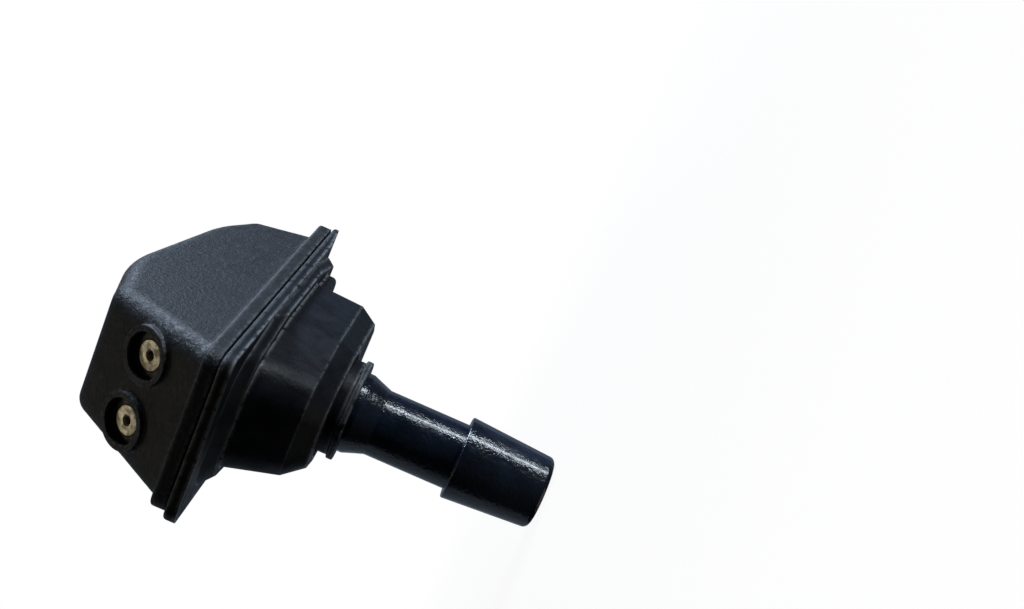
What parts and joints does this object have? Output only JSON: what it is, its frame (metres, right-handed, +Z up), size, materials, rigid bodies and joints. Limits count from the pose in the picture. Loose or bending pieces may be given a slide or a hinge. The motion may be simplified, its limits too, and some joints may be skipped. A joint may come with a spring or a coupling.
{
  "type": "windscreen washer jet nozzle",
  "caption": "Twin-jet washer nozzle: wedge hood with aimable eyeball jets, barbed hose stem, check valve and a rubber panel grommet that the nozzle lifts out of.",
  "frame": {"origin": "on the hose stem's axis, 0.4 mm above the grommet shoulder that rests on the panel", "axes": "+Z up out of the panel through the hood, the jets face -Y, +X to the right-hand jet's side"},
  "size_m": [0.0126, 0.0312, 0.0335],
  "materials": {
    "hood_plastic": "spark-textured matte black moulding, edges worn lighter",
    "body_plastic": "glossy blue-black moulding with slight orange peel",
    "block_plastic": "plain black moulding",
    "grommet_rubber": "semi-matte black rubber",
    "seal_rubber": "black rubber",
    "jet_brass": "dull turned brass, tarnished pale",
    "ring_plastic": "black ring",
    "valve_steel": "bright stainless steel"
  },
  "bodies": {
    "grommet": {"grommet_seal": "grommet_rubber"},
    "nozzle": {"hood": "hood_plastic", "jet_block": "block_plastic", "nozzle_body": "body_plastic", "spigot_seal": "seal_rubber", "retainer_ring_left": "ring_plastic", "retainer_ring_right": "ring_plastic", "ball_seat_left": "seal_rubber", "ball_seat_right": "seal_rubber", "valve_seat": "seal_rubber", "valve_cage": "ring_plastic", "valve_spring": "valve_steel"},
    "left_jet": {"ball_jet_left": "jet_brass"},
    "right_jet": {"ball_jet_right": "jet_brass"},
    "valve": {"valve_ball": "valve_steel"}
  },
  "joints": [
    {"name": "nozzle_pull_out", "type": "slide", "parent": "grommet", "child": "nozzle", "axis": [0, 0, 1], "range_m": [0, 0.008]},
    {"name": "jet_left_aim", "type": "hinge", "parent": "nozzle", "child": "left_jet", "pos_m": [-0.00255, -0.00866, 0.00565], "axis": [1, 0, 0], "range_deg": [-10, 10]},
    {"name": "jet_right_aim", "type": "hinge", "parent": "nozzle", "child": "right_jet", "pos_m": [0.00255, -0.00866, 0.00565], "axis": [1, 0, 0], "range_deg": [-10, 10]},
    {"name": "valve_lift", "type": "slide", "parent": "nozzle", "child": "valve", "axis": [0, 0, 1], "range_m": [0, 0.0009], "stiffness_N_per_m": 40, "deforming": ["valve_spring"]}
  ]
}
